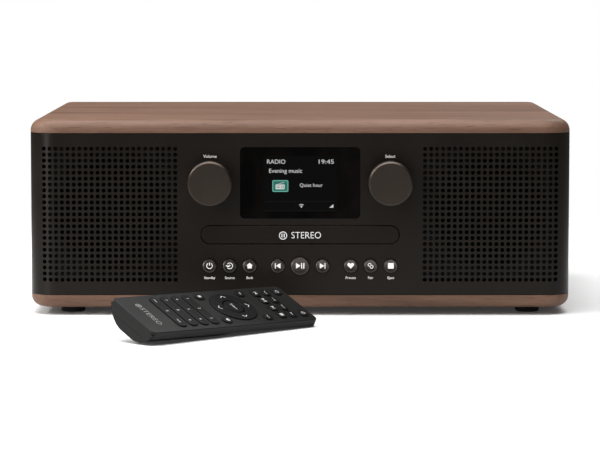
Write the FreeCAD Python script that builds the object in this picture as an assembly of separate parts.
import FreeCAD, Part
import math
import os

# A mini hifi system: a wooden-topped tabletop unit with two speakers, a disc drawer, a display,
# two knobs and nine buttons, and the remote control that lies in front of it.
# Frame: origin on the table under the middle of the unit, +Z up, +X to the right of someone
# facing the unit, and the front at -Y.  All lengths are in millimetres, angles in degrees.

V = FreeCAD.Vector

same_place = 1e-6             # how near two places lie when they count as one

# ---- driving sizes: the cabinet ----------------------------------------------------------------
cabinet_width = 400.0
cabinet_depth = 300.0
foot_height = 5.5
bottom_thickness = 9.5
panel_height = 120.0
top_thickness = 9.8
front_corner_radius = 20.0
rear_corner_radius = 12.0
bottom_edge_radius = 8.0
top_edge_radius = 8.5
side_thickness = 12.0
panel_wall = 3.0
panel_return = 2.0            # how far the front moulding runs on behind its corner
seam = 0.35                   # shadow line between the moulding and the boards
seam_depth = 1.2
rear_recess = 2.0
rear_wall = 3.0
rear_gap = 0.3
rear_screw_inset = 8.0        # from the side boards to the outer screws
rear_screw_middle = 92.0
rear_screw_edge = 7.0
screw_radius = 1.5
screw_hole_radius = 1.7
screw_grip = 6.0
screw_head_radius = 3.2
screw_head_height = 1.6
screw_head_edge = 1.0
screw_drive_half = 1.7
screw_drive_slot = 0.35       # half the width of the cross's arms
screw_drive_depth = 0.8
vent_count = 9
vent_pitch = 9.0
vent_width = 3.0
vent_height = 26.0
vent_above_base = 78.0
foot_radius = 9.0
foot_inset = 30.0

# ---- driving sizes: the front ------------------------------------------------------------------
grille_pitch = 4.4
grille_hole_radius = 1.52
grille_count = 23
grille_inset = 59.6           # from the cabinet's side to the middle of its grille and speaker
grille_x = cabinet_width / 2 - grille_inset
grille_above_base = 60.0      # heights on the front are measured from the moulding's lower edge

window_width = 88.4
window_height = 52.5
window_radius = 3.3
window_thickness = 1.6
window_ledge = 3.0
window_sink = 0.1
window_edge = 0.15            # chamfer round the window's front
window_pocket_gap = 0.1
window_ledge_radius = 1.5
window_above_base = 83.25
screen_width = 69.0
screen_height = 46.0
screen_thickness = 3.0
screen_chin = 2.0             # the module's edge under the picture
ribbon_half = 14.0
ribbon_thickness = 0.3
ribbon_length = 6.0

knob_x = 66.3
knob_above_base = 83.65
knob_radius = 16.15
knob_length = 14.5
knob_gap = 1.0
knob_chamfer = 1.1
knob_skirt = 1.6
knob_face = 3.2
knob_boss_radius = 5.4
shaft_radius = 3.0
shaft_flat = 1.5
bushing_radius = 4.0
encoder_size = 12.0
encoder_depth = 8.0

button_above_base = 22.0
button_radius = 5.0
play_radius = 6.7
button_reach = 1.7            # how far a cap stands out of the panel
button_edge = 0.7
button_gap = 0.3
button_flange = 0.9
button_flange_thickness = 1.0
button_stem_radius = 1.8
button_travel = 0.8
button_dish = 0.35            # depth of the hollow in a cap
button_names = ["standby", "source", "back", "previous", "play", "next", "presets", "pair", "eject"]
button_centres = [-66.9, -52.0, -37.3, -16.5, 0.0, 16.5, 37.3, 52.0, 66.9]

board_thickness = 1.6
switch_size = 6.0
switch_height = 2.5
post_radius = 2.5
upper_post_x = 50.0
upper_post_inset = 3.0
outer_post_gap = 4.6          # from the last button to the post beside it
upper_board_margin = 13.0     # from a knob's centre to the board's end
lower_board_half_height = 10.0
switch_nub_radius = 1.75
switch_nub_height = 0.6

# ---- driving sizes: the speakers ---------------------------------------------------------------
speaker_box_width = 99.0
speaker_box_depth = 140.0
speaker_box_wall = 4.0
speaker_set_back = 7.0        # from the moulding's inner face to the speaker box
frame_radius = 46.0
frame_flange = 2.5
frame_depth = 28.0
frame_back_radius = 25.0
frame_lip = 7.5               # the flange's width
frame_sheet = 1.2
frame_throat_wall = 0.9
frame_bolt_radius = 2.2
frame_bolt_inset = 3.6
basket_arms = 4
basket_window_half = 11.0
basket_window_start = 12.0
cone_radius = 31.0
cone_depth = 18.0
cone_wall = 0.8
cone_travel = 2.5
coil_radius = 12.9
coil_wall = 0.5
coil_clearance = 0.4
magnet_radius = 29.0
magnet_depth = 14.0
magnet_plate = 4.0
surround_wall = 0.6
surround_gap = 0.2
surround_lip = 3.0
surround_rise = 2.6

# ---- driving sizes: the disc drawer ------------------------------------------------------------
tray_front_width = 146.0
tray_front_height = 13.2
tray_front_thickness = 3.5
tray_front_edge = 0.3
tray_slot_gap = 0.5
tray_above_base = 44.9
tray_width = 138.0
tray_length = 180.0
tray_height = 8.0
tray_travel = 140.0
disc_seat_radius = 60.6
disc_seat_depth = 4.3
small_disc_radius = 40.6
small_disc_depth = 1.2
disc_thickness = 1.2
disc_centre_y = -80.0
tray_slot_half = 17.0
tray_running_gap = 0.25

tray_side_gap = 2.0
loader_wall = 3.0
loader_half_width = tray_width / 2 + tray_side_gap + loader_wall
loader_base = 2.0
loader_base_below_tray = 16.5
loader_length = 183.0
loader_front_gap = 16.0       # from the moulding's inner face to the loader
rail_reach = 6.0
rail_thickness = 2.0
bridge_length = 30.0
bridge_thickness = 2.0
bridge_clearance = 7.5        # from the top of the tray to the bridge
loader_post_radius = 4.0
loader_post_inset = 6.0
loader_post_side = 5.5

gear_module = 1.25
gear_teeth = 18
motor_teeth = 15
gear_thickness = 3.4
pressure_angle = 20.0
addendum = 0.8                # in modules
dedendum = 1.1
gear_backlash = 0.16
gear_centre_x = -48.0
gear_centre_y = -122.0
rack_width = 5.0
axle_radius = 2.0
loading_motor_radius = 7.0
motor_shaft_radius = 0.95
running_gap = 0.05

deck_half_width = 62.0
deck_thickness = 1.5
deck_below_tray = 5.0         # from the tray's underside to the deck plate's top
deck_front_y = -106.0
deck_pivot_y = 20.0
deck_pivot_drop = 3.0
deck_pin_radius = 2.0
turntable_radius = 13.0
turntable_thickness = 2.0
hub_cone_radius = 7.4
hub_cone_height = 2.6
spindle_radius = 1.5
spindle_motor_radius = 12.0
spindle_motor_height = 6.0
puck_radius = 14.0
puck_thickness = 3.0
puck_neck_radius = 8.0
puck_lip = 3.0
puck_play = 0.6
sled_half_width = 25.0
sled_length = 22.0
sled_travel = 34.0
sled_rod_x = 21.0
sled_rod_radius = 1.5
feed_screw_x = 29.5
feed_screw_radius = 1.25

# ---- driving sizes: the electronics at the back ------------------------------------------------
main_board_half_width = 80.0
main_board_length = 84.0
main_board_lift = 7.0
main_board_rear_gap = 5.0
heat_sink_width = 50.0
heat_sink_length = 38.0
heat_sink_height = 20.0
heat_sink_fins = 8
socket_radius = 1.8
socket_length = 14.0
socket_nose_radius = 3.3
socket_hole_gap = 0.3
socket_above_board = 6.0
aux_x = -44.0
phones_x = -20.0
power_x = 44.0
power_bore_radius = 3.2
power_nose_radius = 5.2
power_pin_radius = 1.0
power_length = 10.0

# ---- driving sizes: the aerial -----------------------------------------------------------------
aerial_x = 150.0
aerial_above_base = 97.0
aerial_base_radius = 9.0
aerial_base_height = 5.0
aerial_pin_radius = 3.0
aerial_head_radius = 7.0
aerial_head_height = 1.7
aerial_clear = 10.0           # from the rear panel's face to the rods' centre line
aerial_ear = 2.0
aerial_tongue = 3.0           # half the tongue's thickness
aerial_hinge_radius = 1.5
aerial_length = 150.0
aerial_radii = [3.5, 2.8, 2.1, 1.4]
aerial_tip_radius = 3.5
aerial_tip_length = 6.0

# ---- driving sizes: the remote control ---------------------------------------------------------
remote_length = 156.7
remote_width = 48.3
remote_thickness = 5.5
remote_depth = 15.4           # over the battery compartment
remote_wall = 1.2
remote_split = 2.6            # depth of the parting line under the top face
remote_corner = 4.0
bulge_end = 62.0
bulge_run_out = 18.0
bulge_mid_depth = 11.5
bulge_mid_half = 17.0
bulge_flat_half = 6.5
bulge_rim_inset = 0.25
bulge_clear = 60.0            # how far the sloping cut runs on past the belly
remote_yaw = 44.03
remote_pitch = 1.41
remote_roll = 25.08
remote_corner_x = -129.35
remote_corner_y = -295.5
key_height = 0.9
key_gap = 0.25
bar_rows = [32.0, 42.0, 52.0, 62.0]
bar_length = 39.6
bar_width = 7.4
ring_x = 93.5
ring_radius = 17.7
ring_inner = 8.4
ring_key_radius = 7.6
side_key_rows = [74.2, 113.0]
side_key_offset = 16.3
side_key_radius = 3.9
square_rows = [127.3, 137.1]
square_offsets = [-15.2, -5.1, 5.1, 15.2]
square_length = 6.6
square_width = 8.2
end_key_row = 148.4
end_key_offset = 15.2
remote_board_thickness = 0.8
cell_radius = 5.25
cell_length = 44.5
cell_gap = 0.4
cell_start = 7.0
cover_half_width = 15.0
cover_length = 58.0
cover_gap = 0.15

# ---- levels and planes worked out from them ----------------------------------------------------
half_width = cabinet_width / 2
front_y = -cabinet_depth / 2
rear_y = cabinet_depth / 2
base_z = foot_height + bottom_thickness
panel_top_z = base_z + panel_height
top_z = panel_top_z + top_thickness
panel_back_y = front_y + panel_wall
rear_face_y = rear_y - rear_recess
rear_inner_y = rear_face_y - rear_wall
knob_z = base_z + knob_above_base
button_z = base_z + button_above_base
window_z = base_z + window_above_base
tray_z = base_z + tray_above_base
grille_z = base_z + grille_above_base
tray_bottom_z = tray_z - tray_height / 2 + 0.6
tray_top_z = tray_bottom_z + tray_height
disc_seat_z = tray_top_z - disc_seat_depth
upper_board_y = panel_back_y + 10.0
lower_board_y = panel_back_y + 8.0
deck_top_z = tray_bottom_z - deck_below_tray
disc_under_z = disc_seat_z + 1.5
remote_half = remote_width / 2


# ---- plain shapes ------------------------------------------------------------------------------
def box(x0, x1, y0, y1, z0, z1):
    return Part.makeBox(x1 - x0, y1 - y0, z1 - z0, V(x0, y0, z0))


def rod_x(radius, x0, x1, y, z):
    return Part.makeCylinder(radius, x1 - x0, V(x0, y, z), V(1, 0, 0))


def rod_y(radius, y0, y1, x, z):
    return Part.makeCylinder(radius, y1 - y0, V(x, y0, z), V(0, 1, 0))


def rod_z(radius, z0, z1, x, y):
    return Part.makeCylinder(radius, z1 - z0, V(x, y, z0), V(0, 0, 1))


def fused(shapes):
    return shapes[0].multiFuse(shapes[1:]).removeSplitter()


def edges_along(shape, axis):
    """The straight edges of a shape that run along one axis."""
    found = []
    for edge in shape.Edges:
        if isinstance(edge.Curve, Part.Line):
            run = edge.Vertexes[-1].Point - edge.Vertexes[0].Point
            if abs(abs(run.dot(axis)) - run.Length) < same_place:
                found.append(edge)
    return found


def rounded_outline(width, height, radius, to_point):
    """A closed rounded rectangle about (0, 0), drawn in the plane that to_point(a, b) gives."""
    half_w = width / 2
    half_h = height / 2
    diagonal = radius * (1 - math.sqrt(0.5))
    corners = [(1, 1), (-1, 1), (-1, -1), (1, -1)]
    edges = []
    last = None
    for turn, (sx, sy) in enumerate(corners):
        on_side = to_point(sx * half_w, sy * (half_h - radius))
        on_end = to_point(sx * (half_w - radius), sy * half_h)
        start, stop = (on_side, on_end) if turn % 2 == 0 else (on_end, on_side)
        middle = to_point(sx * (half_w - diagonal), sy * (half_h - diagonal))
        if last is not None and (start - last).Length > same_place:
            edges.append(Part.LineSegment(last, start).toShape())
        edges.append(Part.Arc(start, middle, stop).toShape())
        last = stop
    first = edges[0].Vertexes[0].Point
    if (first - last).Length > same_place:
        edges.append(Part.LineSegment(last, first).toShape())
    return Part.Face(Part.Wire(edges))


def front_plate(width, height, radius, y0, y1, x, z):
    """A rounded plate that faces the front, from y0 to y1."""
    face = rounded_outline(width, height, radius, lambda a, b: V(x + a, y0, z + b))
    return face.extrude(V(0, y1 - y0, 0))


def revolved_y(profile, x, z):
    """A closed profile of (radius, y) points, turned about the line along Y through (x, z)."""
    points = [V(x + r, y, z) for r, y in profile]
    face = Part.Face(Part.makePolygon(points + [points[0]]))
    return face.revolve(V(x, 0, z), V(0, 1, 0), 360)


def revolved_z(profile, x, y):
    """A closed profile of (radius, z) points, turned about the line along Z through (x, y)."""
    points = [V(x + r, y, z) for r, z in profile]
    face = Part.Face(Part.makePolygon(points + [points[0]]))
    return face.revolve(V(x, y, 0), V(0, 0, 1), 360)


# ---- cabinet -----------------------------------------------------------------------------------
def cabinet_board(z0, z1):
    """A wooden board with the cabinet's rounded outline."""
    face = Part.Face(Part.Wire(board_outline(z0)))
    return face.extrude(V(0, 0, z1 - z0))


def board_outline(z):
    def corner(x, y, radius):
        cut = radius * (1 - math.sqrt(0.5))
        sx = math.copysign(1, x)
        sy = math.copysign(1, y)
        across = V(x - sx * radius, y, z)
        middle = V(x - sx * cut, y - sy * cut, z)
        along = V(x, y - sy * radius, z)
        return across, middle, along
    front_left = corner(-half_width, front_y, front_corner_radius)
    front_right = corner(half_width, front_y, front_corner_radius)
    rear_right = corner(half_width, rear_y, rear_corner_radius)
    rear_left = corner(-half_width, rear_y, rear_corner_radius)
    return [
        Part.LineSegment(front_left[0], front_right[0]).toShape(),
        Part.Arc(*front_right).toShape(),
        Part.LineSegment(front_right[2], rear_right[2]).toShape(),
        Part.Arc(*reversed(rear_right)).toShape(),
        Part.LineSegment(rear_right[0], rear_left[0]).toShape(),
        Part.Arc(*rear_left).toShape(),
        Part.LineSegment(rear_left[2], front_left[2]).toShape(),
        Part.Arc(*reversed(front_left)).toShape(),
    ]


def rim_edges(board, z):
    return [e for e in board.Edges
            if abs(e.BoundBox.ZMin - z) < same_place and abs(e.BoundBox.ZMax - z) < same_place]


def top_panel():
    board = cabinet_board(panel_top_z, top_z)
    radius = min(top_edge_radius, top_thickness - 0.5, rear_corner_radius - 0.5)
    return board.makeFillet(radius, rim_edges(board, top_z))


def bottom_panel():
    board = cabinet_board(foot_height, base_z)
    radius = min(bottom_edge_radius, bottom_thickness - 0.5, rear_corner_radius - 0.5)
    return board.makeFillet(radius, rim_edges(board, foot_height))


def side_panel(side):
    """A side board from behind the front moulding to the rear corner, which it rounds."""
    inner = half_width - side_thickness
    start = front_y + front_corner_radius + panel_return + seam
    cut = rear_corner_radius * (1 - math.sqrt(0.5))
    points = [V(inner, start, base_z), V(half_width, start, base_z),
              V(half_width, rear_y - rear_corner_radius, base_z),
              V(half_width - cut, rear_y - cut, base_z),
              V(half_width - rear_corner_radius, rear_y, base_z), V(inner, rear_y, base_z)]
    edges = [Part.LineSegment(points[0], points[1]).toShape(),
             Part.LineSegment(points[1], points[2]).toShape(),
             Part.Arc(points[2], points[3], points[4]).toShape()]
    if (points[4] - points[5]).Length > same_place:
        edges.append(Part.LineSegment(points[4], points[5]).toShape())
    edges.append(Part.LineSegment(points[5], points[0]).toShape())
    board = Part.Face(Part.Wire(edges)).extrude(V(0, 0, panel_height))
    if side < 0:
        board = board.mirror(V(0, 0, 0), V(1, 0, 0))
    return board


def rear_panel():
    inner = half_width - side_thickness - rear_gap
    panel = box(-inner, inner, rear_inner_y, rear_face_y, base_z, panel_top_z)
    cuts = []
    for x, radius in rear_sockets():
        cuts.append(rod_y(radius + socket_hole_gap, rear_inner_y - 1, rear_face_y + 1, x, socket_z()))
    for x, z in rear_screw_places():
        cuts.append(rod_y(screw_hole_radius, rear_inner_y - 1, rear_face_y + 1, x, z))
    for column in range(vent_count):
        x = (column - (vent_count - 1) / 2) * vent_pitch
        cuts.append(front_plate(vent_width, vent_height, vent_width / 2,
                                rear_inner_y - 1, rear_face_y + 1, x, base_z + vent_above_base))
    return panel.cut(Part.makeCompound(cuts))


def rear_sockets():
    return [(aux_x, socket_nose_radius), (phones_x, socket_nose_radius), (power_x, power_nose_radius)]


def socket_z():
    return base_z + main_board_lift + board_thickness + socket_above_board


def rear_screw_places():
    outer = half_width - side_thickness - rear_screw_inset
    return [(sx * x, z) for x in (outer, rear_screw_middle) for sx in (-1, 1)
            for z in (base_z + rear_screw_edge, panel_top_z - rear_screw_edge)]


def cabinet_screws():
    """The rear panel's screws: a domed head on the face and a shank through the panel."""
    screws = []
    for x, z in rear_screw_places():
        shank = rod_y(screw_radius, rear_inner_y - screw_grip, rear_face_y, x, z)
        top_y = rear_face_y + screw_head_height
        head = rod_y(screw_head_radius, rear_face_y, top_y, x, z)
        head = head.makeFillet(screw_head_edge, [e for e in head.Edges
                                                 if e.BoundBox.YMin > top_y - same_place])
        drive_y = top_y - screw_drive_depth
        long = screw_drive_half
        short = screw_drive_slot
        drive = box(x - long, x + long, drive_y, top_y + 1, z - short, z + short)
        cross = box(x - short, x + short, drive_y, top_y + 1, z - long, z + long)
        screws.append(fused([head, shank]).cut(Part.makeCompound([drive, cross])))
    return Part.makeCompound(screws)


def feet():
    pads = []
    for sx in (-1, 1):
        for sy in (-1, 1):
            x = sx * (half_width - foot_inset)
            y = sy * (cabinet_depth / 2 - foot_inset)
            pad = rod_z(foot_radius, 0, foot_height, x, y)
            pads.append(pad.makeChamfer(1.0, [e for e in pad.Edges if e.BoundBox.ZMax < same_place]))
    return Part.makeCompound(pads)


# ---- front moulding ----------------------------------------------------------------------------
def front_band(outer, inner, z0, z1):
    """The front wall with its two rounded corners, between two depths under its outer face."""
    end_y = front_y + front_corner_radius + panel_return
    straight = half_width - front_corner_radius
    centre_y = front_y + front_corner_radius

    def side_points(depth):
        radius = front_corner_radius - depth
        cut = radius * math.sqrt(0.5)
        return [V(half_width - depth, end_y, z0), V(half_width - depth, centre_y, z0),
                V(straight + cut, centre_y - cut, z0), V(straight, front_y + depth, z0)]

    def mirrored(point):
        return V(-point.x, point.y, point.z)
    out = side_points(outer)
    ins = side_points(inner)
    edges = [
        Part.LineSegment(out[0], out[1]).toShape(),
        Part.Arc(out[1], out[2], out[3]).toShape(),
        Part.LineSegment(out[3], mirrored(out[3])).toShape(),
        Part.Arc(mirrored(out[3]), mirrored(out[2]), mirrored(out[1])).toShape(),
        Part.LineSegment(mirrored(out[1]), mirrored(out[0])).toShape(),
        Part.LineSegment(mirrored(out[0]), mirrored(ins[0])).toShape(),
        Part.LineSegment(mirrored(ins[0]), mirrored(ins[1])).toShape(),
        Part.Arc(mirrored(ins[1]), mirrored(ins[2]), mirrored(ins[3])).toShape(),
        Part.LineSegment(mirrored(ins[3]), ins[3]).toShape(),
        Part.Arc(ins[3], ins[2], ins[1]).toShape(),
        Part.LineSegment(ins[1], ins[0]).toShape(),
        Part.LineSegment(ins[0], out[0]).toShape(),
    ]
    return Part.Face(Part.Wire(edges)).extrude(V(0, 0, z1 - z0))


def button_radius_of(name):
    return play_radius if name == "play" else button_radius


def upper_posts():
    rise = window_height / 2 - upper_post_inset
    return [(sx * upper_post_x, window_z + sz * rise) for sx in (-1, 1) for sz in (-1, 1)]


def lower_posts():
    between = (button_centres[5] + button_centres[6]) / 2
    outside = button_centres[8] + button_radius + outer_post_gap
    return [(sx * x, button_z) for sx in (-1, 1) for x in (between, outside)]


def grille_holes():
    span = (grille_count - 1) / 2
    holes = []
    for side in (-1, 1):
        for column in range(grille_count):
            for row in range(grille_count):
                x = side * grille_x + (column - span) * grille_pitch
                z = grille_z + (row - span) * grille_pitch
                holes.append(rod_y(grille_hole_radius, front_y - 1, panel_back_y + 4, x, z))
    return holes


def front_panel():
    """The dark moulding across the front: grilles, window pocket, drawer slot and button holes."""
    panel = front_band(0, panel_wall, base_z, panel_top_z)
    lines = [front_band(-1, seam_depth, base_z - 1, base_z + seam),
             front_band(-1, seam_depth, panel_top_z - seam, panel_top_z + 1)]
    panel = panel.cut(Part.makeCompound(lines))
    posts = [rod_y(post_radius, panel_back_y - 0.5, upper_board_y, x, z) for x, z in upper_posts()]
    posts += [rod_y(post_radius, panel_back_y - 0.5, lower_board_y, x, z) for x, z in lower_posts()]
    panel = fused([panel] + posts)
    y0 = front_y - 1
    y1 = panel_back_y + 1
    pocket_y = front_y + window_sink + window_thickness
    cuts = [
        front_plate(window_width + 2 * window_pocket_gap, window_height + 2 * window_pocket_gap,
                    window_radius + window_pocket_gap, y0, pocket_y, 0, window_z),
        front_plate(window_width - 2 * window_ledge, window_height - 2 * window_ledge,
                    window_ledge_radius, y0, y1, 0, window_z),
        front_plate(tray_front_width + 2 * tray_slot_gap, tray_front_height + 2 * tray_slot_gap,
                    tray_front_height / 2 + tray_slot_gap, y0, y1, 0, tray_z),
    ]
    for side in (-1, 1):
        cuts.append(rod_y(bushing_radius + 0.4, y0, y1, side * knob_x, knob_z))
    for name, x in zip(button_names, button_centres):
        cuts.append(rod_y(button_radius_of(name) + button_gap, y0, y1, x, button_z))
    return panel.cut(Part.makeCompound(cuts + grille_holes()))


def display_window():
    y0 = front_y + window_sink
    plate = front_plate(window_width, window_height, window_radius, y0, y0 + window_thickness, 0, window_z)
    rim = [e for e in plate.Edges if e.BoundBox.YMax < y0 + same_place]
    return plate.makeChamfer(window_edge, rim)


def display_module():
    y0 = panel_back_y + 0.1
    body = box(-screen_width / 2, screen_width / 2, y0, y0 + screen_thickness,
               window_z - screen_height / 2 - screen_chin, window_z + screen_height / 2)
    low = body.BoundBox.ZMin
    ribbon = box(-ribbon_half, ribbon_half, y0 + 1.0, y0 + 1.0 + ribbon_thickness,
                 low - ribbon_length, low)
    return fused([body, ribbon])


# ---- knobs and the control boards --------------------------------------------------------------
def knob_profile():
    tip = front_y - knob_gap - knob_length
    back = front_y - knob_gap
    return [(0, tip), (knob_radius - knob_chamfer, tip), (knob_radius, tip + knob_chamfer),
            (knob_radius, back), (knob_radius - knob_skirt, back),
            (knob_radius - knob_skirt, tip + knob_face), (knob_boss_radius, tip + knob_face),
            (knob_boss_radius, back), (0, back)]


def flatted_rod(radius, y0, y1, x):
    """A round shaft with a flat on its upper side."""
    shaft = rod_y(radius, y0, y1, x, knob_z)
    flat_z = knob_z + radius - shaft_flat
    return shaft.cut(box(x - radius - 1, x + radius + 1, y0 - 1, y1 + 1, flat_z, knob_z + radius + 1))


def knob(side):
    x = side * knob_x
    tip = front_y - knob_gap - knob_length
    bore = flatted_rod(shaft_radius + running_gap, tip + knob_face, front_y, x)
    return revolved_y(knob_profile(), x, knob_z).cut(bore)


def knob_shaft(side):
    x = side * knob_x
    tip = front_y - knob_gap - knob_length + knob_face + 0.2
    flat_end = front_y - knob_gap + 0.3
    shaft_end = upper_board_y - 3.2
    return fused([flatted_rod(shaft_radius, tip, flat_end, x),
                  rod_y(shaft_radius, flat_end, shaft_end, x, knob_z)])


def push_slider(side):
    """The piece behind the shaft that a push on the knob drives into its switch."""
    start = upper_board_y - 3.1
    return rod_y(shaft_radius - 0.1, start, start + 1.2, side * knob_x, knob_z)


def encoder(side):
    x = side * knob_x
    half = encoder_size / 2
    housing = box(x - half, x + half, upper_board_y - encoder_depth, upper_board_y,
                  knob_z - half, knob_z + half)
    bushing = rod_y(bushing_radius, front_y + 0.5, upper_board_y - encoder_depth + 1, x, knob_z)
    bore = rod_y(shaft_radius + running_gap, front_y, upper_board_y - 0.8, x, knob_z)
    return fused([housing, bushing]).cut(bore)


def upper_control_board():
    """The board behind the display, with the two knobs' encoders on it."""
    reach = knob_x + upper_board_margin
    board = box(-reach, reach, upper_board_y, upper_board_y + board_thickness,
                window_z - window_height / 2 + 0.5, window_z + window_height / 2)
    chips = [box(-22, -8, upper_board_y - 1.4, upper_board_y, window_z - 8, window_z + 6),
             box(6, 20, upper_board_y - 1.2, upper_board_y, window_z - 4, window_z + 10)]
    return Part.makeCompound([board] + chips + [encoder(-1), encoder(1)])


def button(name, x):
    radius = button_radius_of(name)
    tip = front_y - button_reach
    flange_y = panel_back_y + 0.1
    stem_end = lower_board_y - switch_height - button_travel - 0.1
    profile = [(0, tip + button_dish), (radius * 0.5, tip + button_dish * 0.7),
               (radius - button_edge, tip),
               (radius - button_edge * 0.3, tip + button_edge * 0.3), (radius, tip + button_edge),
               (radius, flange_y), (radius + button_flange, flange_y),
               (radius + button_flange, flange_y + button_flange_thickness),
               (button_stem_radius, flange_y + button_flange_thickness),
               (button_stem_radius, stem_end), (0, stem_end)]
    return revolved_y(profile, x, button_z)


def lower_control_board():
    """The board behind the buttons, with a tact switch under each."""
    reach = lower_posts()[-1][0] + post_radius + 1.0
    board = box(-reach, reach, lower_board_y, lower_board_y + board_thickness,
                button_z - lower_board_half_height, button_z + lower_board_half_height)
    half = switch_size / 2
    switches = []
    for x in button_centres:
        case = box(x - half, x + half, lower_board_y - switch_height + switch_nub_height,
                   lower_board_y, button_z - half, button_z + half)
        nub = rod_y(switch_nub_radius, lower_board_y - switch_height,
                    lower_board_y - switch_height + 1, x, button_z)
        switches.append(fused([case, nub]))
    return Part.makeCompound([board] + switches)


# ---- speakers ----------------------------------------------------------------------------------
def speaker_front_y():
    return panel_back_y + speaker_set_back


def speaker_box(side):
    """The sealed moulded box behind one grille, open where the speaker drops in."""
    outer_x = half_width - side_thickness - 0.5
    inner_x = outer_x - speaker_box_width
    y0 = speaker_front_y()
    wall = speaker_box_wall
    shell = box(inner_x, outer_x, y0, y0 + speaker_box_depth, base_z, panel_top_z)
    shell = shell.cut(box(inner_x + wall, outer_x - wall, y0 + wall, y0 + speaker_box_depth - wall,
                          base_z + wall, panel_top_z - wall))
    shell = shell.cut(rod_y(frame_radius - frame_lip + 1.0, y0 - 1, y0 + wall + 1, grille_x, grille_z))
    if side < 0:
        shell = shell.mirror(V(0, 0, 0), V(1, 0, 0))
    return shell


def speaker_frame(side):
    """The pressed basket with its magnet riveted to the back."""
    x = side * grille_x
    y0 = speaker_front_y()
    face_y = y0 - frame_flange
    back_y = y0 + frame_depth
    throat = frame_radius - frame_lip
    basket = revolved_y([(frame_radius, face_y), (frame_radius, y0), (throat + 0.6, y0),
                         (frame_back_radius + frame_sheet, back_y - 1.5),
                         (frame_back_radius + frame_sheet, back_y),
                         (coil_radius + 3.0, back_y), (coil_radius + 3.0, back_y - frame_sheet),
                         (frame_back_radius, back_y - frame_sheet),
                         (throat - frame_throat_wall, y0), (throat - frame_throat_wall, face_y)],
                        x, grille_z)
    windows = []
    holes = []
    for arm in range(basket_arms):
        angle = 45 + 360 / basket_arms * arm
        window = box(x + basket_window_start, x + frame_radius, y0 + 6, back_y - 4,
                     grille_z - basket_window_half, grille_z + basket_window_half)
        windows.append(window.rotated(V(x, 0, grille_z), V(0, 1, 0), angle))
        hole = rod_y(frame_bolt_radius, face_y - 1, y0 + 1, x + frame_radius - frame_bolt_inset, grille_z)
        holes.append(hole.rotated(V(x, 0, grille_z), V(0, 1, 0), angle))
    basket = basket.cut(Part.makeCompound(windows + holes))
    pole = coil_radius - coil_wall - coil_clearance
    gap = coil_radius + coil_clearance
    magnet = revolved_y([(gap, back_y), (magnet_radius, back_y), (magnet_radius, back_y + magnet_depth),
                         (0, back_y + magnet_depth), (0, back_y), (pole, back_y),
                         (pole, back_y + magnet_depth - magnet_plate),
                         (gap, back_y + magnet_depth - magnet_plate)], x, grille_z)
    return Part.makeCompound([basket, magnet])


def cone_profile():
    """Half section of the cone, its dust cap and the coil former, as (radius, y)."""
    edge_y = speaker_front_y() - frame_flange + 0.4
    neck_y = edge_y + cone_depth
    coil_end = speaker_front_y() + frame_depth + magnet_depth - magnet_plate - cone_travel - 1.5
    cap = [(coil_radius * math.cos(math.radians(a)), neck_y - 2.0 - 5.0 * math.sin(math.radians(a)))
           for a in (0, 20, 40, 60, 80, 90)]
    return [(cone_radius, edge_y), (cone_radius, edge_y + cone_wall),
            (coil_radius, neck_y + cone_wall), (coil_radius, coil_end),
            (coil_radius - coil_wall, coil_end), (coil_radius - coil_wall, neck_y)] + \
           [(0, neck_y - 6.2), (0, neck_y - 7.0)] + list(reversed(cap[1:5])) + \
           [(coil_radius + 0.5, neck_y - 1.5)]


def speaker_cone(side):
    return revolved_y(cone_profile(), side * grille_x, grille_z)


def speaker_surround(side):
    """The rubber half-roll between the cone and the basket's flange."""
    x = side * grille_x
    inner = cone_radius + surround_gap
    outer = frame_radius - frame_lip - frame_throat_wall
    face_y = speaker_front_y() - frame_flange
    middle = (inner + outer) / 2
    crown = face_y - surround_rise
    points = [V(x + inner, face_y, grille_z),
              V(x + middle, crown, grille_z),
              V(x + outer, face_y, grille_z)]
    over = Part.Arc(points[0], points[1], points[2]).toShape()
    lip = V(x + outer + surround_lip, face_y, grille_z)
    lip_top = V(x + outer + surround_lip, face_y - surround_wall, grille_z)
    start_top = V(x + inner, face_y - surround_wall, grille_z)
    end_top = V(x + outer, face_y - surround_wall, grille_z)
    above = Part.Arc(end_top, V(x + middle, crown - surround_wall, grille_z), start_top).toShape()
    edges = [over, Part.LineSegment(points[2], lip).toShape(), Part.LineSegment(lip, lip_top).toShape(),
             Part.LineSegment(lip_top, end_top).toShape(), above,
             Part.LineSegment(start_top, points[0]).toShape()]
    return Part.Face(Part.Wire(edges)).revolve(V(x, 0, grille_z), V(0, 1, 0), 360)


# ---- gears -------------------------------------------------------------------------------------
def involute(angle):
    return math.tan(angle) - angle


def gear_outline(teeth):
    """Points of an involute gear with a tooth on the +X axis."""
    pitch_r = gear_module * teeth / 2
    base_r = pitch_r * math.cos(math.radians(pressure_angle))
    tip_r = pitch_r + addendum * gear_module
    root_r = pitch_r - dedendum * gear_module
    half_pitch = math.pi / (2 * teeth) - gear_backlash / (2 * pitch_r)
    half_base = half_pitch + involute(math.radians(pressure_angle))
    start_r = max(base_r, root_r)
    steps = 7
    flank = []
    for step in range(steps + 1):
        r = start_r + (tip_r - start_r) * step / steps
        flank.append((r, half_base - involute(math.acos(min(1.0, base_r / r)))))
    points = []
    for tooth in range(teeth):
        centre = 2 * math.pi * tooth / teeth
        half_root = half_base + 0.25 * (math.pi / teeth - half_base)
        points.append((root_r, centre - half_root))
        points += [(r, centre - a) for r, a in flank]
        points += [(r, centre + a) for r, a in reversed(flank)]
        points.append((root_r, centre + half_root))
    return [(r * math.cos(a), r * math.sin(a)) for r, a in points]


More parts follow.
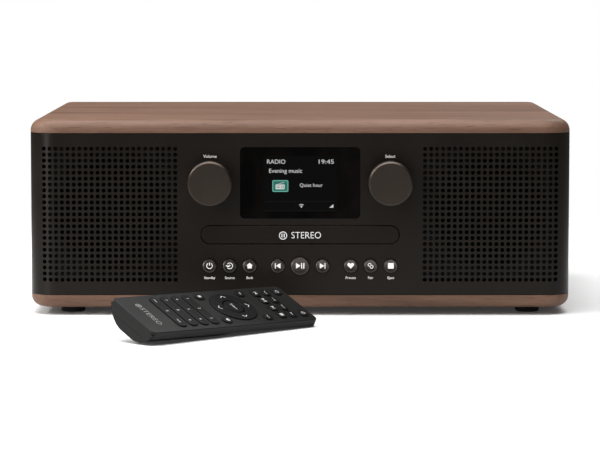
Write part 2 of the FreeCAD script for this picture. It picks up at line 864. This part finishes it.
def gear(teeth, x, y, z, bore):
    points = [V(x + a, y + b, z) for a, b in gear_outline(teeth)]
    blank = Part.Face(Part.makePolygon(points + [points[0]])).extrude(V(0, 0, gear_thickness))
    return blank.cut(rod_z(bore, z - 1, z + gear_thickness + 1, x, y))


def gear_z():
    return tray_bottom_z - gear_thickness - 0.4


def motor_gear_x():
    return gear_centre_x + gear_module * (gear_teeth + motor_teeth) / 2


def tray_gear():
    return gear(gear_teeth, gear_centre_x, gear_centre_y, gear_z(), axle_radius + running_gap)


def motor_gear():
    return gear(motor_teeth, motor_gear_x(), gear_centre_y, gear_z(), 1.0)


def tray_rack():
    """The rack under the drawer's left edge, with a gap facing the gear's tooth at rest."""
    pitch = math.pi * gear_module
    line_x = gear_centre_x - gear_module * gear_teeth / 2
    tip_x = line_x + addendum * gear_module
    root_x = line_x - dedendum * gear_module
    slope = math.tan(math.radians(pressure_angle))
    half = pitch / 4 - gear_backlash / 2
    half_tip = half - addendum * gear_module * slope
    half_root = half + dedendum * gear_module * slope
    teeth_ahead = 3
    count = teeth_ahead + math.ceil(tray_travel / pitch) + 3
    y = gear_centre_y - (teeth_ahead - 0.5) * pitch
    points = [V(root_x - rack_width, y - pitch / 2, tray_bottom_z)]
    for tooth in range(count):
        centre = y + tooth * pitch
        points += [V(root_x, centre - half_root, tray_bottom_z), V(tip_x, centre - half_tip, tray_bottom_z),
                   V(tip_x, centre + half_tip, tray_bottom_z), V(root_x, centre + half_root, tray_bottom_z)]
    points.append(V(root_x - rack_width, y + (count - 0.5) * pitch, tray_bottom_z))
    face = Part.Face(Part.makePolygon(points + [points[0]]))
    return face.extrude(V(0, 0, -gear_thickness))


# ---- disc drawer and loader --------------------------------------------------------------------
def tray_start_y():
    return front_y + tray_front_thickness


def disc_tray():
    half = tray_width / 2
    y0 = tray_start_y()
    y1 = y0 + tray_length
    tray = box(-half, half, y0, y1, tray_bottom_z, tray_top_z)
    tray = tray.makeFillet(6.0, [e for e in edges_along(tray, V(0, 0, 1)) if e.BoundBox.YMin > y1 - 1])
    seat = rod_z(disc_seat_radius, disc_seat_z, tray_top_z + 1, 0, disc_centre_y)
    small = rod_z(small_disc_radius, disc_seat_z - small_disc_depth, tray_top_z + 1, 0, disc_centre_y)
    slot = fused([rod_z(tray_slot_half, tray_bottom_z - 1, tray_top_z + 1, 0, disc_centre_y),
                  box(-tray_slot_half, tray_slot_half, disc_centre_y, y1 + 1,
                      tray_bottom_z - 1, tray_top_z + 1)])
    thumb = [rod_z(13.0, disc_seat_z, tray_top_z + 1, side * disc_seat_radius * 0.98, disc_centre_y)
             .common(box(-half + 2.5, half - 2.5, y0, y1, 0, tray_top_z + 1)) for side in (-1, 1)]
    tray = tray.cut(Part.makeCompound([seat])).cut(small).cut(slot)
    for scoop in thumb:
        tray = tray.cut(scoop)
    return fused([tray, tray_rack()])


def tray_front():
    """The lozenge-shaped front of the drawer, flush with the moulding."""
    plate = front_plate(tray_front_width, tray_front_height, tray_front_height / 2,
                        front_y, front_y + tray_front_thickness, 0, tray_z)
    rim = [e for e in plate.Edges if e.BoundBox.YMax < front_y + same_place]
    return plate.makeChamfer(tray_front_edge, rim)


def loader_levels():
    base_top = tray_bottom_z - loader_base_below_tray + loader_base
    wall_top = tray_top_z + tray_running_gap + rail_thickness
    bridge_z = tray_top_z + bridge_clearance
    return base_top, wall_top, bridge_z


def loader_frame():
    """The drawer's chassis: a floor with a large window, two grooved walls and the clamp bridge."""
    base_top, wall_top, bridge_z = loader_levels()
    w = loader_half_width
    y0 = panel_back_y + loader_front_gap
    y1 = y0 + loader_length
    inner = w - loader_wall
    floor = box(-w, w, y0, y1, base_top - loader_base, base_top)
    floor = floor.cut(box(-deck_half_width - 1.5, deck_half_width + 1.5, deck_front_y - 7.0,
                          deck_pivot_y + 10.0, base_top - loader_base - 1, base_top + 1))
    pieces = [floor]
    for side in (-1, 1):
        def mirrored(x0, x1):
            return (x0, x1) if side > 0 else (-x1, -x0)
        wall_x = mirrored(inner, w)
        rail_x = mirrored(inner - rail_reach + 1.5, inner + 0.5)
        pieces.append(box(*wall_x, y0, y1, base_top - loader_base, wall_top))
        pieces.append(box(*rail_x, y0, y1, tray_bottom_z - tray_running_gap - rail_thickness,
                          tray_bottom_z - tray_running_gap))
        pieces.append(box(*rail_x, y0, y1, tray_top_z + tray_running_gap, wall_top))
        pieces.append(box(*wall_x, disc_centre_y - bridge_length / 2, disc_centre_y + bridge_length / 2,
                          wall_top - 1, bridge_z + bridge_thickness))
        for y in (y0 + loader_post_inset, y1 - loader_post_inset):
            post_x = side * (w - loader_post_side)
            pieces.append(rod_z(loader_post_radius, base_z, base_top - 0.5, post_x, y))
    pieces.append(box(-w, w, disc_centre_y - bridge_length / 2, disc_centre_y + bridge_length / 2,
                      bridge_z, bridge_z + bridge_thickness))
    pieces.append(rod_z(axle_radius, base_top - 0.5, tray_bottom_z - 0.2, gear_centre_x, gear_centre_y))
    pieces.append(rod_z(axle_radius + 2, base_top - 0.5, gear_z() - 0.2, gear_centre_x, gear_centre_y))
    frame = fused(pieces)
    frame = frame.cut(rod_z(puck_neck_radius + puck_play, bridge_z - 1, bridge_z + bridge_thickness + 1,
                            0, disc_centre_y))
    return frame.cut(rod_x(deck_pin_radius + running_gap, -w - 1, w + 1, deck_pivot_y, deck_pivot_z()))


def loading_motor():
    base_top = loader_levels()[0]
    can = rod_z(loading_motor_radius, base_top, gear_z() - 1.2, motor_gear_x(), gear_centre_y)
    shaft = rod_z(motor_shaft_radius, gear_z() - 1.3, gear_z() + gear_thickness,
                  motor_gear_x(), gear_centre_y)
    return fused([can, shaft])


def clamp_puck():
    """The magnetic puck that presses a disc on the hub, loose in its bridge."""
    bridge_z = loader_levels()[2]
    bottom = disc_under_z + disc_thickness + 0.1
    lip_z = bridge_z + bridge_thickness + puck_play
    return revolved_z([(hub_cone_radius + 0.6, bottom), (puck_radius, bottom),
                       (puck_radius, bottom + puck_thickness), (puck_neck_radius, bottom + puck_thickness),
                       (puck_neck_radius, lip_z), (puck_neck_radius + puck_lip, lip_z),
                       (puck_neck_radius + puck_lip, lip_z + 1.5), (0, lip_z + 1.5),
                       (0, bottom + hub_cone_height), (hub_cone_radius + 0.6, bottom + hub_cone_height)],
                      0, disc_centre_y)


def deck_pivot_z():
    return deck_top_z - deck_thickness - deck_pivot_drop


def sled_start_y():
    return disc_centre_y + turntable_radius + 2.0


def sled_rod_span():
    start = sled_start_y() - 1.5
    return start, start + sled_length + sled_travel + 3.0


def deck_plate():
    """The steel deck that carries the spindle and the laser sled, on two pins at its rear."""
    w = deck_half_width
    plate_z = deck_top_z - deck_thickness
    rod_start, rod_end = sled_rod_span()
    rod_z0 = sled_rod_z()
    plate = box(-w, w, deck_front_y, deck_pivot_y + 4.0, plate_z, deck_top_z)
    plate = plate.makeFillet(5.0, edges_along(plate, V(0, 0, 1)))
    plate = plate.cut(box(-16, 16, sled_start_y() - 2.0, rod_end - 1.0, plate_z - 1, deck_top_z + 1))
    plate = plate.cut(rod_z(spindle_radius + 1.0, plate_z - 1, deck_top_z + 1, 0, disc_centre_y))
    pieces = [plate]
    for side in (-1, 1):
        near, far = sorted((side * (w - 4.0), side * w))
        pieces.append(box(near, far, deck_pivot_y - 4, deck_pivot_y + 4,
                          deck_pivot_z() - deck_pin_radius - 0.5, plate_z + 0.5))
        near, far = sorted((side * (w - 2.0), side * (loader_half_width - 0.5)))
        pieces.append(rod_x(deck_pin_radius, near, far, deck_pivot_y, deck_pivot_z()))
        for y in (rod_start - 3.0, rod_end):
            pieces.append(box(side * sled_rod_x - 2.5, side * sled_rod_x + 2.5, y, y + 3.0,
                              deck_top_z - 0.5, rod_z0 + 1.0))
    for y in (rod_start - 3.0, rod_end):
        pieces.append(box(feed_screw_x - 2.5, feed_screw_x + 2.5, y, y + 3.0,
                          deck_top_z - 0.5, rod_z0 + 1.8))
    deck = fused(pieces)
    deck = deck.cut(rod_y(feed_screw_radius + running_gap, rod_start - 4, rod_end + 4,
                          feed_screw_x, rod_z0))
    rods = [rod_y(sled_rod_radius, rod_start - 2.0, rod_end + 2.0, side * sled_rod_x, rod_z0)
            for side in (-1, 1)]
    return Part.makeCompound([deck.cut(Part.makeCompound(rods))] + rods)


def sled_rod_z():
    return deck_top_z + 2.4


def pickup_sled():
    y0 = sled_start_y()
    y1 = y0 + sled_length
    carriage = box(-sled_half_width, sled_half_width, y0, y1, deck_top_z + 0.6, deck_top_z + 4.4)
    nut = box(sled_half_width - 0.5, feed_screw_x + 3.0, y0 + 4, y1 - 4, deck_top_z + 0.6, deck_top_z + 4.4)
    optics = box(-14, 14, y0, y1 - 2, deck_top_z - 4.5, deck_top_z + 1.5)
    block = box(-10, 10, y0 + 1, y0 + 15, deck_top_z + 4.0, deck_top_z + 6.2)
    lens = rod_z(3.5, deck_top_z + 6.0, disc_under_z - 1.4, 0, y0 + 7)
    sled = fused([carriage, nut, optics, block, lens])
    bores = [rod_y(sled_rod_radius + running_gap, y0 - 1, y1 + 1, side * sled_rod_x, sled_rod_z())
             for side in (-1, 1)]
    bores.append(rod_y(feed_screw_radius + running_gap, y0 - 1, y1 + 1, feed_screw_x, sled_rod_z()))
    return sled.cut(Part.makeCompound(bores))


def feed_screw():
    rod_start, rod_end = sled_rod_span()
    screw = rod_y(feed_screw_radius, rod_start - 3.5, rod_end + 3.5, feed_screw_x, sled_rod_z())
    wheel = rod_y(2.3, rod_end + 3.5, rod_end + 6.5, feed_screw_x, sled_rod_z())
    return fused([screw, wheel])


def spindle_hub():
    """The turntable and centring cone on the spindle."""
    seat = disc_under_z
    plate_top = deck_top_z + 0.6
    return revolved_z([(spindle_radius, deck_top_z - deck_thickness - spindle_motor_height + 1.0),
                       (spindle_radius, plate_top), (turntable_radius - 6, plate_top),
                       (turntable_radius - 6, seat - turntable_thickness),
                       (turntable_radius, seat - turntable_thickness), (turntable_radius, seat),
                       (hub_cone_radius, seat), (hub_cone_radius, seat + disc_thickness),
                       (hub_cone_radius - 2.4, seat + hub_cone_height), (0, seat + hub_cone_height),
                       (0, deck_top_z - deck_thickness - spindle_motor_height + 1.0)],
                      0, disc_centre_y)


def spindle_motor():
    top = deck_top_z - deck_thickness
    can = rod_z(spindle_motor_radius, top - spindle_motor_height, top, 0, disc_centre_y)
    return can.cut(rod_z(spindle_radius + running_gap, top - spindle_motor_height + 0.8, top + 1,
                         0, disc_centre_y))


# ---- main board and its sockets ----------------------------------------------------------------
def main_board():
    """The main board on its spacers, with amplifier heat sink, capacitors and rear sockets."""
    z0 = base_z + main_board_lift
    z1 = z0 + board_thickness
    y1 = rear_inner_y - main_board_rear_gap
    y0 = y1 - main_board_length
    w = main_board_half_width
    pieces = [box(-w, w, y0, y1, z0, z1)]
    for x in (-w + 6, w - 6):
        for y in (y0 + 6, y1 - 6):
            pieces.append(rod_z(3.0, base_z, z0, x, y))
    pieces.append(heat_sink(8.0, y0 + 4.0, z1))
    for number in range(3):
        pieces.append(rod_z(5.0, z1, z1 + 16.0, -60.0 + 14.0 * number, y0 + 16.0))
    pieces.append(box(-50, -26, y0 + 30, y0 + 54, z1, z1 + 2.0))
    for x in (aux_x, phones_x):
        pieces.append(round_socket(x, socket_nose_radius, socket_radius, socket_length, 6.0, z1))
    inlet = round_socket(power_x, power_nose_radius, power_bore_radius, power_length, 6.5, z1)
    pin = rod_y(power_pin_radius, rear_face_y - power_length - 0.5, rear_face_y - 1.0, power_x, socket_z())
    pieces.append(fused([inlet, pin]))
    return Part.makeCompound(pieces)


def round_socket(x, nose_radius, bore_radius, length, half, z):
    """A round socket on the board whose nose ends flush with the rear panel's face."""
    body = box(x - half, x + half, rear_face_y - length - 3.0, rear_inner_y - 0.5, z,
               socket_z() + half - 0.5)
    nose = rod_y(nose_radius, rear_inner_y - 1.0, rear_face_y, x, socket_z())
    return fused([body, nose]).cut(rod_y(bore_radius, rear_face_y - length, rear_face_y + 1, x, socket_z()))


def heat_sink(x, y, z):
    sink = box(x, x + heat_sink_width, y, y + heat_sink_length, z, z + heat_sink_height)
    pitch = heat_sink_width / heat_sink_fins
    gaps = [box(x + pitch * (n + 0.3), x + pitch * (n + 1), y - 1, y + heat_sink_length + 1,
                z + 4.0, z + heat_sink_height + 1) for n in range(heat_sink_fins - 1)]
    return sink.cut(Part.makeCompound(gaps))


# ---- aerial ------------------------------------------------------------------------------------
def aerial_z():
    return base_z + aerial_above_base


def aerial_rod_y():
    return rear_face_y + aerial_clear


def aerial_base():
    """The round boss on the rear panel that the aerial turns in."""
    boss = rod_y(aerial_base_radius, rear_face_y, rear_face_y + aerial_base_height, aerial_x, aerial_z())
    boss = boss.makeFillet(1.5, [e for e in boss.Edges
                                 if e.BoundBox.YMin > rear_face_y + aerial_base_height - same_place])
    bore = rod_y(aerial_pin_radius + running_gap, rear_face_y + 1.0, rear_face_y + aerial_base_height + 1,
                 aerial_x, aerial_z())
    return boss.cut(bore)


def aerial_swivel():
    """The turning head: a pin in the base, two ears, and the hinge pin between them."""
    y_head = rear_face_y + aerial_base_height + 0.2
    rod_y_centre = aerial_rod_y()
    ear = aerial_tongue + 0.1
    pin = rod_y(aerial_pin_radius, rear_face_y + 1.2, y_head + 0.5, aerial_x, aerial_z())
    head = rod_y(aerial_head_radius, y_head, y_head + aerial_head_height, aerial_x, aerial_z())
    fork = box(aerial_x - 4.5, aerial_x + 4.5, y_head + aerial_head_height - 0.5, rod_y_centre + 4.5,
               aerial_z() - ear - aerial_ear, aerial_z() + ear + aerial_ear)
    far_edges = [e for e in edges_along(fork, V(0, 0, 1)) if e.BoundBox.YMin > rod_y_centre]
    fork = fork.makeFillet(3.0, far_edges)
    slot = box(aerial_x - 6, aerial_x + 6, y_head + aerial_head_height, rod_y_centre + 6,
               aerial_z() - ear, aerial_z() + ear)
    hinge = rod_z(aerial_hinge_radius, aerial_z() - ear - 1, aerial_z() + ear + 1, aerial_x, rod_y_centre)
    return fused([fused([pin, head, fork]).cut(slot), hinge])


def aerial_tube(section):
    """One section of the rod, from its hinge side towards -X, all nested at rest."""
    radius = aerial_radii[section]
    start = aerial_x - aerial_head_radius - 1.0 - 2.0 * section
    stop = aerial_x - aerial_length - 1.0 * section
    tube = rod_x(radius, stop, start, aerial_rod_y(), aerial_z())
    if section + 1 < len(aerial_radii):
        bore = aerial_radii[section + 1] + running_gap
        tube = tube.cut(rod_x(bore, stop - 1, start - 1.5, aerial_rod_y(), aerial_z()))
    return tube


def aerial_outer():
    y = aerial_rod_y()
    z = aerial_z()
    eye = rod_z(2.7, z - aerial_tongue, z + aerial_tongue, aerial_x, y)
    tongue = box(aerial_x - aerial_head_radius - 1.5, aerial_x, y - 2.7, y + 2.7,
                 z - aerial_tongue, z + aerial_tongue)
    bore = rod_z(aerial_hinge_radius + running_gap, z - 5, z + 5, aerial_x, y)
    return fused([fused([eye, tongue]).cut(bore), aerial_tube(0)])


def aerial_tip():
    last = len(aerial_radii) - 1
    stop = aerial_x - aerial_length - 1.0 * last
    cap = rod_x(aerial_tip_radius, stop - aerial_tip_length, stop, aerial_rod_y(), aerial_z())
    end_x = stop - aerial_tip_length
    cap = cap.makeFillet(1.2, [e for e in cap.Edges if e.BoundBox.XMax < end_x + same_place])
    return fused([aerial_tube(last), cap])


# ---- remote control, drawn flat: x along it, y across it to -width, top face at z = 0 ----------
def remote_slab(inset, z0, z1):
    face = rounded_outline(remote_length - 2 * inset, remote_width - 2 * inset, remote_corner - inset * 0.8,
                           lambda a, b: V(remote_length / 2 + a, b - remote_half, z0))
    return face.extrude(V(0, 0, z1 - z0))


def remote_bulge(inset):
    """The battery compartment's rounded belly under the slab, run out into it at a slope."""
    side = bulge_mid_half - inset
    flat = bulge_flat_half - inset * 0.3
    rim = remote_half - bulge_rim_inset - inset
    depth = remote_depth - inset
    half = [(rim, remote_split), (side, bulge_mid_depth - inset * 0.8), (flat, depth)]
    near = [V(inset, a - remote_half, -b) for a, b in half]
    far = [V(inset, -a - remote_half, -b) for a, b in half]
    edges = [Part.Arc(*near).toShape(), Part.LineSegment(near[2], far[2]).toShape(),
             Part.Arc(*reversed(far)).toShape(), Part.LineSegment(far[0], near[0]).toShape()]
    face = Part.Face(Part.Wire(edges))
    prism = face.extrude(V(bulge_end + bulge_run_out - inset, 0, 0))
    slope_x = bulge_end - inset * 0.8
    slope_end = slope_x + bulge_run_out * (depth - remote_split) / (remote_depth - remote_thickness)
    past_x = slope_end + bulge_clear
    wedge = [V(slope_x, 1, -depth), V(slope_end, 1, -remote_split), V(past_x, 1, -remote_split),
             V(past_x, 1, -depth - 5), V(slope_x, 1, -depth - 5)]
    cutter = Part.Face(Part.makePolygon(wedge + [wedge[0]])).extrude(V(0, -remote_width - 2, 0))
    return prism.cut(cutter)


def remote_lower_solid(inset):
    slab = remote_slab(inset, -(remote_thickness - inset), -remote_split)
    return fused([slab, remote_bulge(inset)])


def cover_region(gap):
    return box(-5, cover_length + gap, -remote_half - cover_half_width - gap,
               -remote_half + cover_half_width + gap, -remote_depth - 5, -9.0 + gap)


def remote_bottom_case():
    shell = remote_lower_solid(0).cut(remote_lower_solid(remote_wall))
    return shell.cut(cover_region(cover_gap))


def remote_battery_cover():
    shell = remote_lower_solid(0).cut(remote_lower_solid(remote_wall))
    cover = shell.common(cover_region(0))
    grip = box(cover_length - 16, cover_length - 6, -remote_half - 7, -remote_half + 7,
               -remote_depth - 1, -remote_depth + 0.5)
    ribs = [box(cover_length - 16 + 2.0 * n, cover_length - 15 + 2.0 * n, -remote_half - 6,
                -remote_half + 6, -remote_depth - 1, -remote_depth + 0.4) for n in range(5)]
    return cover.cut(Part.makeCompound([rib.common(grip) for rib in ribs]))


def key_shapes(grow, z0, z1):
    """Every key as an upright solid, where a gap to grow by makes them the cutters for their holes."""
    keys = []

    def plate(x, offset, along, across, radius):
        face = rounded_outline(along + 2 * grow, across + 2 * grow, radius + grow,
                               lambda a, b: V(x + a, -remote_half + offset + b, z0))
        keys.append(face.extrude(V(0, 0, z1 - z0)))
    for x in bar_rows:
        plate(x, 0, bar_width, bar_length, bar_width / 2 - 0.01)
    for x in side_key_rows:
        for side in (-1, 1):
            keys.append(rod_z(side_key_radius + grow, z0, z1, x, -remote_half + side * side_key_offset))
    ring = rod_z(ring_radius + grow, z0, z1, ring_x, -remote_half)
    if grow == 0:
        ring = ring.cut(rod_z(ring_inner, z0 - 1, z1 + 1, ring_x, -remote_half))
        keys.append(rod_z(ring_key_radius, z0, z1, ring_x, -remote_half))
    keys.append(ring)
    for x in square_rows:
        for offset in square_offsets:
            plate(x, offset, square_length, square_width, 2.0)
    for side in (-1, 1):
        plate(end_key_row, side * end_key_offset, square_length, square_width, 2.0)
    return keys


def remote_top_case():
    shell = remote_slab(0, -remote_split, 0)
    shell = shell.makeFillet(0.7, [e for e in shell.Edges if e.BoundBox.ZMin > -same_place])
    shell = shell.cut(remote_slab(1.6, -remote_split - 1, -remote_wall - 0.3))
    return shell.cut(Part.makeCompound(key_shapes(key_gap, -5, 1)))


def remote_keypad():
    """The silicone mat with its keys, which bear on the board under it."""
    sheet = remote_slab(1.9, -remote_split + 0.1, -remote_wall - 0.4)
    top = -remote_wall - 0.4
    keys = []
    for key in key_shapes(0, top - 0.2, key_height):
        rim = [e for e in key.Edges if e.BoundBox.ZMin > key_height - same_place]
        keys.append(key.makeFillet(0.45, rim))
    return fused([sheet] + keys)


def remote_board():
    z1 = -remote_split - 0.1
    board = remote_slab(3.0, z1 - remote_board_thickness, z1)
    lamp_z = z1 - remote_board_thickness / 2 - 0.2
    lamp = rod_x(0.7, remote_length - 6.0, remote_length - 2.0, -remote_half, lamp_z)
    return fused([board, lamp])


def remote_batteries():
    cells = []
    z = cell_radius + 0.1 - (remote_depth - remote_wall)
    for side in (-1, 1):
        y = -remote_half + side * (cell_radius + cell_gap / 2)
        body = rod_x(cell_radius, cell_start, cell_start + cell_length - 1.2, y, z)
        nub = rod_x(1.9, cell_start + cell_length - 1.3, cell_start + cell_length, y, z)
        cells.append(fused([body, nub]))
    return Part.makeCompound(cells)


def lay_down(shapes):
    """Turn the remote's pieces as it lies on the table, tipped on its rounded belly."""
    turn = FreeCAD.Placement(V(remote_corner_x, remote_corner_y, 0),
                             FreeCAD.Rotation(remote_yaw, remote_pitch, remote_roll))
    turned = {}
    for name, shape in shapes.items():
        moved = shape.copy()
        moved.Placement = turn.multiply(moved.Placement)
        turned[name] = moved
    lowest = min(lowest_z(shape) for shape in turned.values())
    for moved in turned.values():
        moved.translate(V(0, 0, -lowest))
    return turned


def lowest_z(shape):
    return shape.optimalBoundingBox(False, False).ZMin


# ---- all the pieces ----------------------------------------------------------------------------
def build():
    parts = {
        "top_panel": top_panel(),
        "bottom_panel": bottom_panel(),
        "rear_panel": rear_panel(),
        "front_panel": front_panel(),
        "display_window": display_window(),
        "display_module": display_module(),
        "upper_control_board": upper_control_board(),
        "lower_control_board": lower_control_board(),
        "disc_tray": disc_tray(),
        "tray_front": tray_front(),
        "loader_frame": loader_frame(),
        "loading_motor": loading_motor(),
        "tray_gear": tray_gear(),
        "motor_gear": motor_gear(),
        "clamp_puck": clamp_puck(),
        "deck_plate": deck_plate(),
        "spindle_hub": spindle_hub(),
        "spindle_motor": spindle_motor(),
        "pickup_sled": pickup_sled(),
        "feed_screw": feed_screw(),
        "main_board": main_board(),
        "aerial_base": aerial_base(),
        "aerial_swivel": aerial_swivel(),
        "aerial_outer": aerial_outer(),
        "aerial_section_2": aerial_tube(1),
        "aerial_section_3": aerial_tube(2),
        "aerial_tip": aerial_tip(),
        "feet": feet(),
        "cabinet_screws": cabinet_screws(),
    }
    for side, word in ((-1, "left"), (1, "right")):
        parts[word + "_side_panel"] = side_panel(side)
        parts[word + "_speaker_box"] = speaker_box(side)
        parts[word + "_speaker_frame"] = speaker_frame(side)
        parts[word + "_cone"] = speaker_cone(side)
        parts[word + "_surround"] = speaker_surround(side)
    for side, word in ((-1, "volume"), (1, "select")):
        parts[word + "_knob"] = knob(side)
        parts[word + "_shaft"] = knob_shaft(side)
        parts[word + "_push_slider"] = push_slider(side)
    for name, x in zip(button_names, button_centres):
        parts[name + "_button"] = button(name, x)
    parts.update(lay_down({
        "remote_top_case": remote_top_case(),
        "remote_bottom_case": remote_bottom_case(),
        "remote_keypad": remote_keypad(),
        "remote_board": remote_board(),
        "remote_batteries": remote_batteries(),
        "remote_battery_cover": remote_battery_cover(),
    }))
    return parts


os.makedirs("parts", exist_ok=True)
for node, solid in build().items():
    solid.exportStep("parts/" + node + ".step")
    print(node, "valid" if solid.isValid() else "NOT VALID", round(solid.Volume, 1), len(solid.Solids))
